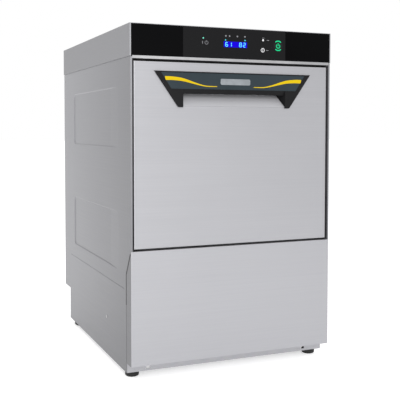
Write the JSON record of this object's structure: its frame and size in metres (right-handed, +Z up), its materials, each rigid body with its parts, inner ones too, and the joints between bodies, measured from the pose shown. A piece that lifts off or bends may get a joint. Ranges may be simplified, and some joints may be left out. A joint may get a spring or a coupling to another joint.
{
  "type": "commercial dishwasher",
  "caption": "Front-loading undercounter commercial dishwasher in brushed steel with a drop-down door, recessed handle, dark control console and low levelling feet.",
  "frame": {"origin": "centre of the footprint, on the floor under the feet", "axes": "+X to the right seen from the front, -Y out of the front, +Z up"},
  "size_m": [0.46, 0.565, 0.715],
  "materials": {
    "brushed_steel": "satin, fine brushed grain",
    "tank_steel": "smooth drawn stainless sheet",
    "bright_steel": "bright polished edge strip",
    "galvanised": "plain galvanised sheet",
    "black_glass": "gloss black front",
    "display_blue": "lit blue window",
    "lens_green": "gloss key field",
    "black_plastic": "fine satin black moulding",
    "plate_grey": "blue-grey metallic trim",
    "housing_plastic": "matt moulding",
    "circuit_board": "solder-masked board",
    "screw_steel": "plain stainless",
    "foot_rubber": "matt black",
    "seal_rubber": "soft dark grey",
    "arm_plastic": "satin blue-grey moulding",
    "arm_steel": "satin stainless tube",
    "pump_plastic": "glass-filled moulding",
    "motor_cast": "die-cast ribs",
    "hose_rubber": "matt hose",
    "valve_white": "white moulding",
    "brass": "machined"
  },
  "bodies": {
    "cabinet": {"left_side_panel": "brushed_steel", "right_side_panel": "brushed_steel", "top_cover": "brushed_steel", "lower_front_panel": "brushed_steel", "rear_panel": "galvanised", "rear_lower_panel": "galvanised", "rear_lower_shelf": "galvanised", "base_frame": "galvanised", "hinge_brackets": "galvanised", "electrical_box": "galvanised", "front_frame": "tank_steel", "wash_tank": "tank_steel", "sump": "tank_steel", "rack_guide_left": "tank_steel", "rack_guide_right": "tank_steel", "tank_filter": "tank_steel", "rinse_boiler": "tank_steel", "console_trim": "bright_steel", "console_glass": "black_glass", "lcd_display": "display_blue", "key_lenses": "lens_green", "console_housing": "housing_plastic", "control_board": "circuit_board", "cabinet_screws": "screw_steel", "hinge_pins": "screw_steel", "riser_pipe": "arm_steel", "lower_hub": "arm_steel", "upper_hub": "arm_steel", "tank_heater": "arm_steel", "arm_caps": "arm_plastic", "wash_pump_housing": "pump_plastic", "drain_pump": "pump_plastic", "detergent_pump": "pump_plastic", "rinse_aid_pump": "pump_plastic", "cable_gland": "pump_plastic", "drain_outlet": "pump_plastic", "wash_pump_motor": "motor_cast", "internal_hoses": "hose_rubber", "inlet_valve": "valve_white", "water_inlet": "brass", "boiler_heater": "brass", "temperature_probe": "brass"},
    "door": {"door_outer_skin": "brushed_steel", "door_inner_panel": "tank_steel", "door_seal": "seal_rubber", "door_handle_frame": "black_plastic", "handle_decor_plate": "plate_grey", "door_hinge_blocks": "pump_plastic"},
    "foot_fl": {"foot_front_left": "foot_rubber"},
    "foot_fr": {"foot_front_right": "foot_rubber"},
    "foot_rl": {"foot_rear_left": "foot_rubber"},
    "foot_rr": {"foot_rear_right": "foot_rubber"},
    "lower_wash": {"lower_wash_arm": "arm_plastic"},
    "lower_rinse": {"lower_rinse_arm": "arm_steel"},
    "upper_wash": {"upper_wash_arm": "arm_plastic"},
    "upper_rinse": {"upper_rinse_arm": "arm_steel"},
    "strainer_cup": {"pump_filter": "tank_steel"},
    "impeller": {"wash_pump_impeller": "pump_plastic"},
    "detergent_roller": {"detergent_rotor": "pump_plastic"},
    "rinse_aid_roller": {"rinse_aid_rotor": "pump_plastic"}
  },
  "joints": [
    {"name": "door_hinge", "type": "hinge", "parent": "cabinet", "child": "door", "pos_m": [0, -0.2705, 0.2785], "axis": [1, 0, 0], "range_deg": [0, 90]},
    {"name": "foot_front_left_height", "type": "slide", "parent": "cabinet", "child": "foot_fl", "axis": [0, 0, -1], "range_m": [0, 0.02]},
    {"name": "foot_front_right_height", "type": "slide", "parent": "cabinet", "child": "foot_fr", "axis": [0, 0, -1], "range_m": [0, 0.02]},
    {"name": "foot_rear_left_height", "type": "slide", "parent": "cabinet", "child": "foot_rl", "axis": [0, 0, -1], "range_m": [0, 0.02]},
    {"name": "foot_rear_right_height", "type": "slide", "parent": "cabinet", "child": "foot_rr", "axis": [0, 0, -1], "range_m": [0, 0.02]},
    {"name": "lower_wash_spin", "type": "hinge", "parent": "cabinet", "child": "lower_wash", "pos_m": [0, -0.0085, 0.28], "axis": [0, 0, 1], "continuous": true},
    {"name": "lower_rinse_spin", "type": "hinge", "parent": "cabinet", "child": "lower_rinse", "pos_m": [0, -0.0085, 0.297], "axis": [0, 0, 1], "continuous": true},
    {"name": "upper_wash_spin", "type": "hinge", "parent": "cabinet", "child": "upper_wash", "pos_m": [0, -0.0085, 0.658], "axis": [0, 0, 1], "continuous": true},
    {"name": "upper_rinse_spin", "type": "hinge", "parent": "cabinet", "child": "upper_rinse", "pos_m": [0, -0.0085, 0.641], "axis": [0, 0, 1], "continuous": true},
    {"name": "strainer_lift", "type": "slide", "parent": "cabinet", "child": "strainer_cup", "axis": [0, 0, 1], "range_m": [0, 0.055]},
    {"name": "wash_pump_spin", "type": "hinge", "parent": "cabinet", "child": "impeller", "pos_m": [0, -0.1425, 0.096], "axis": [1, 0, 0], "continuous": true},
    {"name": "detergent_spin", "type": "hinge", "parent": "cabinet", "child": "detergent_roller", "pos_m": [-0.175, -0.2225, 0.15], "axis": [0, 1, 0], "continuous": true},
    {"name": "rinse_aid_spin", "type": "hinge", "parent": "cabinet", "child": "rinse_aid_roller", "pos_m": [0.175, -0.2225, 0.15], "axis": [0, 1, 0], "continuous": true}
  ]
}
